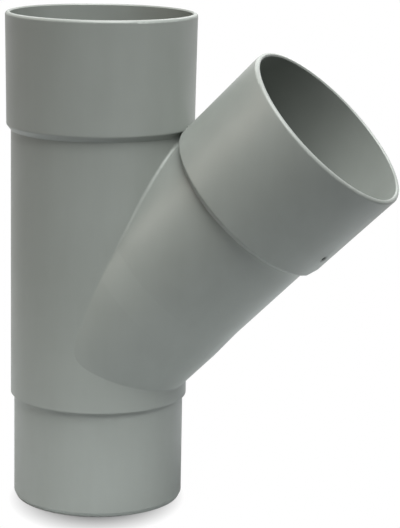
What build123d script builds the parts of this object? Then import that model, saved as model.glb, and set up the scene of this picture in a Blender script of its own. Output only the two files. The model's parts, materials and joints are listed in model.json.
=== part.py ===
"""Lateral wye fitting for 70 mm rainwater pipe, one hollow moulding with no loose pieces.

The run is a spigot, a barrel and a socket on one axis. The branch leaves the barrel at 45 degrees
and ends in a second socket of the same section. The origin is the centre of the spigot's end face,
+Z goes up the run to the main socket, and the branch leans towards +X in the XZ plane.
Lengths are in millimetres and angles in degrees. Radial sizes are built out from the pipe's.
"""

import os
from math import cos, radians, sin, tan

from build123d import *

# The pipe that the fitting joins, and its play in a socket or over the spigot, on the diameter
pipe_od = 70.0
pipe_wall = 1.5
socket_play = 0.3
spigot_play = 0.2

# Walls
spigot_wall = 1.6
barrel_wall = 1.75
heel_wall = 1.35  # socket, at its inner end
mouth_wall = 1.85  # socket, at its mouth: the outside is drafted, the bore is not

# Run, upwards from the spigot's end face
run_length = 192.0
spigot_length = 42.0
bore_taper_start = 39.5  # where the spigot's bore starts to widen to the barrel's
bore_taper_length = 4.5
stop_lip = 0.5  # how far a pipe stop stands in from the bore of the pipe seated on it

# Sockets, both alike
socket_depth = 42.5  # mouth to pipe stop
heel_drop = 0.8  # the heel, a socket's widest point at its inner end, is this far behind the stop
heel_round = 1.2
shoulder_length = 2.2  # cone from the barrel out to the heel
lead_in = 0.45  # flare of the bore at the mouth, on the radius
lead_in_length = 0.5
lip_flat = 0.2  # flat of the rim between the lead-in and the round outer edge

# Branch, along its own axis from where that crosses the run's
axes_cross = 61.35  # height of the crossing
branch_angle = 45.0
branch_length = 131.05
root_inset = 0.35  # the root is this much smaller in radius than the barrel
root_length = 34.0
neck_inset = 0.6  # and the neck is this much smaller than the root
neck_taper_length = 12.0
crotch_fillet = 1.0  # blend between the two barrels
crotch_web_thickness = 3.0  # web between the barrels, up to where the sockets meet
crotch_web_height = 6.5  # above the bottom of the notch that the barrels leave

# Flat across the heel under the branch, sloping in from the socket's outside towards the neck
heel_flat_setback = 41.0  # behind the branch's mouth, where it starts
heel_flat_slope = 16.0
heel_flat_width = 24.0

# Bevel round the spigot's end
spigot_bevel = 0.8
spigot_bevel_length = 1.6

# Moulding gate under the branch socket, a shallow dish with the trimmed nib in its middle
gate_dish_diameter = 4.2
gate_dish_depth = 0.45
gate_nib_diameter = 1.4
gate_nib_height = 0.1  # above the socket's surface
gate_setback = 33.3  # behind the branch's mouth
gate_angle = 12.0  # round from the underside, towards -Y

# Radii that follow
pipe_bore_r = pipe_od / 2 - pipe_wall
socket_bore_r = (pipe_od + socket_play) / 2
run_bore_r = pipe_bore_r - stop_lip
barrel_r = run_bore_r + barrel_wall
spigot_r = pipe_bore_r - spigot_play / 2
spigot_bore_r = spigot_r - spigot_wall
root_r = barrel_r - root_inset
neck_r = root_r - neck_inset
neck_bore_r = neck_r - barrel_wall
heel_r = socket_bore_r + heel_wall
mouth_r = socket_bore_r + mouth_wall
lip_round = mouth_wall - lead_in - lip_flat

# Every profile is drawn with x out from its axis and y along it, on the side away from the crotch
run_plane = Plane(origin=(0, 0, 0), x_dir=(-1, 0, 0), z_dir=(0, 1, 0))
lean = radians(branch_angle)
branch_plane = Plane(origin=(0, 0, axes_cross), x_dir=(cos(lean), 0, -sin(lean)), z_dir=(0, -1, 0))
branch_axis = Axis((0, 0, axes_cross), (sin(lean), 0, cos(lean)))

# Bottom of the notch between the barrels, where their outlines would meet in the XZ plane
notch = axes_cross + (barrel_r * cos(lean) + neck_r) / sin(lean)

# The two arms that end in a socket: profile plane, axis, the start of the bore, the mouth, and the
# radii of the barrel's bore and outside
bore_taper_end = bore_taper_start + bore_taper_length
arms = [
    (run_plane, Axis.Z, bore_taper_end, run_length, run_bore_r, barrel_r),
    (branch_plane, branch_axis, 0, branch_length, neck_bore_r, neck_r),
]

# Place of the gate on the branch socket's drafted outside
gate_turn = radians(gate_angle)
gate_out = branch_plane.x_dir * cos(gate_turn) + branch_plane.z_dir * sin(gate_turn)
gate_foot = branch_axis.position + branch_axis.direction * (branch_length - gate_setback)
gate_r = mouth_r - (mouth_r - heel_r) * gate_setback / (socket_depth + heel_drop)
gate_plane = Plane(origin=gate_foot + gate_out * gate_r, z_dir=gate_out)
gate_ball_r = (gate_dish_diameter**2 / 4 + gate_dish_depth**2) / (2 * gate_dish_depth)

with BuildPart() as wye_body:
    # Spigot and barrel, with the flat step between them that stops the pipe
    with BuildSketch(run_plane):
        with BuildLine():
            Polyline(
                (0, 0),
                (spigot_r - spigot_bevel, 0),
                (spigot_r, spigot_bevel_length),
                (spigot_r, spigot_length),
                (barrel_r, spigot_length),
                (barrel_r, run_length - lead_in_length),
                (0, run_length - lead_in_length),
                close=True,
            )
        make_face()
    revolve(axis=Axis.Z)

    # Branch, wide at its root and slimmer from the neck on
    with BuildSketch(branch_plane):
        with BuildLine():
            Polyline(
                (0, 0),
                (root_r, 0),
                (root_r, root_length),
                (neck_r, root_length + neck_taper_length),
                (neck_r, branch_length - lead_in_length),
                (0, branch_length - lead_in_length),
                close=True,
            )
        make_face()
    revolve(axis=branch_axis)

    # Only the saddle curve where the branch meets the barrel is neither a line nor a circle
    fillet(edges().filter_by(GeomType.BSPLINE), crotch_fillet)

    # Web, let into both walls
    web_top = notch + crotch_web_height
    with BuildSketch(Plane.XZ):
        with BuildLine():
            Polyline(
                (barrel_r - barrel_wall / 2, notch),
                (barrel_r + barrel_wall / 2, notch),
                (barrel_r + barrel_wall / 2 + crotch_web_height * tan(lean), web_top),
                (barrel_r - barrel_wall / 2, web_top),
                close=True,
            )
        make_face()
    extrude(amount=crotch_web_thickness / 2, both=True)

    # Outsides of the sockets, their shoulders' cones starting within the barrels
    for plane, axis, _, mouth, _, outside_r in arms:
        heel = mouth - socket_depth - heel_drop
        with BuildSketch(plane):
            with BuildLine():
                Polyline(
                    (0, heel - 2 * shoulder_length),
                    (2 * outside_r - heel_r, heel - 2 * shoulder_length),
                    (heel_r, heel),
                    (mouth_r, mouth),
                    (0, mouth),
                    close=True,
                )
            make_face()
            fillet(vertices().sort_by_distance((heel_r, heel))[0], heel_round)
            fillet(vertices().sort_by_distance((mouth_r, mouth))[0], lip_round)
        revolve(axis=axis)

    # Flat on the heel under the branch, running out past the shoulder's cone
    flat_start = branch_length - heel_flat_setback
    flat_end = branch_length - socket_depth - heel_drop - shoulder_length
    with BuildSketch(branch_plane):
        with BuildLine():
            Polyline(
                (heel_r, flat_start),
                (2 * heel_r, flat_start),
                (2 * heel_r, flat_end),
                (heel_r - (flat_start - flat_end) * tan(radians(heel_flat_slope)), flat_end),
                close=True,
            )
        make_face()
    extrude(amount=heel_flat_width / 2, both=True, mode=Mode.SUBTRACT)

    # Gate
    with Locations(gate_plane.offset(gate_ball_r - gate_dish_depth)):
        Sphere(gate_ball_r, mode=Mode.SUBTRACT)
    with BuildSketch(gate_plane.offset(gate_nib_height)):
        Circle(gate_nib_diameter / 2)
    extrude(amount=-gate_nib_height - gate_dish_depth)

    # Bore of the spigot, widening into the barrel's
    with BuildSketch(run_plane):
        with BuildLine():
            Polyline(
                (0, 0),
                (spigot_bore_r, 0),
                (spigot_bore_r, bore_taper_start),
                (run_bore_r, bore_taper_end),
                (0, bore_taper_end),
                close=True,
            )
        make_face()
    revolve(axis=Axis.Z, mode=Mode.SUBTRACT)

    # Bores of the barrels and sockets, each with its pipe stop
    for plane, axis, bore_start, mouth, bore_r, _ in arms:
        stop = mouth - socket_depth
        with BuildSketch(plane):
            with BuildLine():
                Polyline(
                    (0, bore_start),
                    (bore_r, bore_start),
                    (bore_r, stop),
                    (socket_bore_r, stop),
                    (socket_bore_r, mouth - lead_in_length),
                    (socket_bore_r + lead_in, mouth),
                    (0, mouth),
                    close=True,
                )
            make_face()
        revolve(axis=axis, mode=Mode.SUBTRACT)
wye_body.part.label = "wye_body"

os.makedirs("parts", exist_ok=True)
export_step(wye_body.part, "parts/wye_body.step")
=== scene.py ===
import json
from math import cos, radians, sin

import bpy
from mathutils import Matrix, Vector


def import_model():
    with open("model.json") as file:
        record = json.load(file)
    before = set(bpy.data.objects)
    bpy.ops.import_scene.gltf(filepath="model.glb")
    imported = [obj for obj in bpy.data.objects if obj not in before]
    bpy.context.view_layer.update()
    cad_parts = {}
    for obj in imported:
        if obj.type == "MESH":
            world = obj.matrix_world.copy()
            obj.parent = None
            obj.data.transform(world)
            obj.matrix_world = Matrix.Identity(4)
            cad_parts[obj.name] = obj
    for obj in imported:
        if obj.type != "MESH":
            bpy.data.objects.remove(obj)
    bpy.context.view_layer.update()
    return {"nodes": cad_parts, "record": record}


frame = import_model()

scene = bpy.context.scene
scene.view_settings.view_transform = "Standard"

# ---------------------------------------------------------------- metres and degrees
aim = Vector((0.03689, 0.01401, 0.09387))
view_azimuth = 20.794
view_elevation = 12.025
view_roll = 1.089
view_distance = 0.8144
lens = 141.3

# Lamps, with azimuths counted from the view's
lamp_target = Vector((0.035, 0, 0.1))
lamp_distance = 3.0

# Floor: the pad, and the oval of painted soft shade round the foot
floor_size = 6.0
pad_radius = 0.2
pad_fade = 0.05
pad_colour = (0.61, 0.63, 0.64, 1)
foot_radius = 0.0322  # within the spigot's end face
shade_colour = (0.15, 0.15, 0.15, 1)
shade_azimuth = 20.794
shade_centre = 0.006  # in front of the spigot's axis
shade_width = 0.0318
shade_depth = 0.043
shade_start = 0.6  # in the oval's own radii
shade_end = 1.1

# Trimmed gate under the branch socket: a rougher scar, with painted shade darkening it
socket = next(m for m in frame["record"]["mounts"] if m["name"] == "branch_socket")
socket_stop = Vector(socket["pos_m"])
socket_axis = Vector(socket["axis"])
gate_from_stop = 0.0092
gate_radius = 0.0368  # out from the branch's axis
gate_angle = 12.0  # round from the underside, towards the front
scar_and_shade_core = 0.0014
scar_and_shade_edge = 0.0026
scar_and_shade_ragged = 0.0012


def direction(azimuth, elevation):
    """Unit vector towards a point seen at this azimuth, from the front to the right, and height."""
    az, el = radians(azimuth), radians(elevation)
    return Vector((sin(az) * cos(el), -cos(az) * cos(el), sin(el)))


def srgb(r, g, b):
    """8-bit display colour to the linear colour that shaders take."""
    return tuple(
        (c / 255 / 12.92 if c / 255 <= 0.04045 else ((c / 255 + 0.055) / 1.055) ** 2.4)
        for c in (r, g, b)
    ) + (1,)


class Graph:
    """A material's or world's node tree, with one short method for each kind of node."""

    def __init__(self, owner):
        owner.use_nodes = True
        self.nodes = owner.node_tree.nodes
        self.links = owner.node_tree.links

    def set(self, socket, value):
        if isinstance(value, bpy.types.NodeSocket):
            self.links.new(value, socket)
        else:
            socket.default_value = value

    def add(self, kind, **inputs):
        node = self.nodes.new("ShaderNode" + kind)
        for name, value in inputs.items():
            self.set(node.inputs[name.replace("_", " ")], value)
        return node

    def math(self, operation, a, b):
        node = self.nodes.new("ShaderNodeMath")
        node.operation = operation
        self.set(node.inputs[0], a)
        self.set(node.inputs[1], b)
        return node.outputs[0]

    def noise(self, where, scale, detail, roughness=0.5, stretch=(1, 1, 1)):
        place = self.add("Mapping", Vector=where, Scale=stretch)
        node = self.add(
            "TexNoise",
            Vector=place.outputs["Vector"],
            Scale=scale,
            Detail=detail,
            Roughness=roughness,
        )
        return node.outputs["Fac"]

    def spread(self, value, low, high, to_low, to_high):
        node = self.add(
            "MapRange",
            Value=value,
            From_Min=low,
            From_Max=high,
            To_Min=to_low,
            To_Max=to_high,
        )
        return node.outputs["Result"]

    def mix(self, factor, a, b):
        node = self.nodes.new("ShaderNodeMix")
        node.data_type = "RGBA"
        self.set(node.inputs["Factor"], factor)
        self.set(node.inputs[6], a)
        self.set(node.inputs[7], b)
        return node.outputs[2]

    def distance(self, where, centre):
        node = self.nodes.new("ShaderNodeVectorMath")
        node.operation = "DISTANCE"
        self.set(node.inputs[0], where)
        self.set(node.inputs[1], centre)
        return node.outputs["Value"]


# ---------------------------------------------------------------- moulded PVC
def pvc():
    """Grey rigid PVC as it leaves the mould, satin, with faint flow marks and a trimmed gate that
    is rougher and darkened by painted shade.
    """
    mat = bpy.data.materials.new("moulded_pvc")
    g = Graph(mat)
    shader = g.nodes["Principled BSDF"]
    shader.inputs["IOR"].default_value = 1.5
    here = g.add("TexCoord").outputs["Object"]

    # Slow drift of tone through the moulding, and finer flow streaks along the run
    drift = g.noise(here, 14, 3, 0.55)
    streak = g.noise(here, 90, 3, 0.6, stretch=(1, 1, 0.18))
    tone = g.math("ADD", g.math("MULTIPLY", drift, 0.7), g.math("MULTIPLY", streak, 0.3))
    colour = g.mix(
        g.spread(tone, 0.35, 0.65, 0, 1),
        srgb(131, 135.5, 130),
        srgb(139, 143.5, 138.5),
    )

    # Trimmed gate: rougher than the skin round it, and darker by painted shade
    down = Vector((0, 1, 0)).cross(socket_axis)
    turn = radians(gate_angle)
    gate = socket_stop + socket_axis * gate_from_stop
    gate += (down * cos(turn) + Vector((0, -1, 0)) * sin(turn)) * gate_radius
    ragged = g.math("MULTIPLY", g.noise(here, 900, 2), scar_and_shade_ragged)
    from_gate = g.math("ADD", g.distance(here, gate), ragged)
    scar_and_shade = g.spread(from_gate, scar_and_shade_core, scar_and_shade_edge, 1, 0)
    # Painted shade: the gate mark darkened towards a deep grey
    colour = g.mix(g.math("MULTIPLY", scar_and_shade, 0.75), colour, srgb(70, 74, 70))
    g.set(shader.inputs["Base Color"], colour)

    # Satin skin of uneven gloss, and the rougher scar
    satin = g.spread(g.noise(here, 60, 4, 0.6), 0.3, 0.7, 0.38, 0.46)
    g.set(shader.inputs["Roughness"], g.math("ADD", satin, g.math("MULTIPLY", scar_and_shade, 0.25)))

    # Spark-eroded grain of the mould over long shallow waves
    waves = g.add("Bump", Distance=0.00035, Height=g.noise(here, 38, 2))
    grain = g.add(
        "Bump",
        Strength=0.15,
        Distance=0.0001,
        Height=g.noise(here, 1600, 3),
        Normal=waves.outputs["Normal"],
    )
    g.set(shader.inputs["Normal"], grain.outputs["Normal"])
    return mat


body = frame["nodes"]["wye_body"]
body.data.materials.clear()
body.data.materials.append(pvc())


# ---------------------------------------------------------------- stage
def seen_white(g):
    """1 for rays of the camera, reflections and glass, to which the surroundings are white."""
    ray = g.add("LightPath").outputs
    bent = g.math("MAXIMUM", ray["Is Glossy Ray"], ray["Is Transmission Ray"])
    return g.math("MAXIMUM", ray["Is Camera Ray"], bent)


def floor():
    """A pale pad under the part, lit by the lamps, that fades into the white surroundings.

    The camera sees it through the bore, and round the foot as an oval of painted soft shade, a
    darker pad colour in which the lamps' own shadow also shows.
    """
    mat = bpy.data.materials.new("floor")
    g = Graph(mat)
    g.nodes.clear()
    to_camera = g.add("LightPath").outputs["Is Camera Ray"]
    place = g.add("NewGeometry").outputs["Position"]
    from_axis = g.distance(place, (0, 0, 0))
    outside = g.math("GREATER_THAN", from_axis, foot_radius)
    around = g.math("MULTIPLY", to_camera, outside)
    # Painted shade: outside the foot the camera sees the pad in the darker shade colour
    pad = g.add("BsdfDiffuse", Color=g.mix(around, pad_colour, shade_colour))
    surroundings = g.add("Emission", Strength=seen_white(g))

    # The oval, stretched to a circle of radius 1
    turned = g.add("Mapping", Vector=place, Rotation=(0, 0, -radians(shade_azimuth)))
    oval = g.add(
        "Mapping",
        Vector=turned.outputs["Vector"],
        Location=(0, shade_centre / shade_depth, 0),
        Scale=(1 / shade_width, 1 / shade_depth, 0),
    )
    from_oval = g.distance(oval.outputs["Vector"], (0, 0, 0))
    past_shade = g.spread(from_oval, shade_start, shade_end, 0, 1)

    past_pad = g.spread(from_axis, pad_radius, pad_radius + pad_fade, 0, 1)
    white = g.math("MAXIMUM", past_pad, g.math("MULTIPLY", around, past_shade))
    blend = g.add("MixShader", Fac=white)
    g.links.new(pad.outputs[0], blend.inputs[1])
    g.links.new(surroundings.outputs[0], blend.inputs[2])
    g.add("OutputMaterial", Surface=blend.outputs[0])
    bpy.ops.mesh.primitive_plane_add(size=floor_size)
    plane = bpy.context.object
    plane.name = "floor"
    plane.data.materials.append(mat)


def world():
    """Surroundings that are seen as white and light nothing."""
    sky = bpy.data.worlds.new("surroundings")
    g = Graph(sky)
    g.set(g.nodes["Background"].inputs["Color"], (1, 1, 1, 1))
    g.set(g.nodes["Background"].inputs["Strength"], seen_white(g))
    scene.world = sky


def softbox(name, azimuth, elevation, width, height, power, tint):
    """A soft lamp facing the part."""
    data = bpy.data.lights.new(name, "AREA")
    data.shape = "RECTANGLE"
    data.size = width
    data.size_y = height
    data.energy = power
    data.color = tint
    lamp = bpy.data.objects.new(name, data)
    scene.collection.objects.link(lamp)
    lamp.visible_camera = False
    back = direction(view_azimuth + azimuth, elevation)
    lamp.rotation_euler = back.to_track_quat("Z", "Y").to_euler()
    lamp.location = lamp_target + back * lamp_distance


def camera():
    """The camera at the view's angle, rolled a little."""
    back = direction(view_azimuth, view_elevation)
    level = Vector((cos(radians(view_azimuth)), sin(radians(view_azimuth)), 0))
    upright = back.cross(level)
    roll = radians(view_roll)
    right = level * cos(roll) + upright * sin(roll)
    up = upright * cos(roll) - level * sin(roll)
    data = bpy.data.cameras.new("camera")
    data.sensor_width = 36
    data.lens = lens
    data.clip_start = 0.05
    data.clip_end = 20
    eye = bpy.data.objects.new("camera", data)
    scene.collection.objects.link(eye)
    eye.matrix_world = Matrix((right, up, back)).transposed().to_4x4()
    eye.location = aim + back * view_distance
    scene.camera = eye


floor()
world()
softbox("key", 23, 71, 2.1, 2.7, 206, (0.995, 1, 1.005))
softbox("front_right", 55, 41, 1.6, 1.6, 5, (0.95, 1, 1.08))
softbox("left", 271, 23, 2.0, 1.2, 13, (1.15, 1, 0.85))
softbox("back", 178, 35, 2.4, 1.6, 30, (1, 1, 1))
camera()
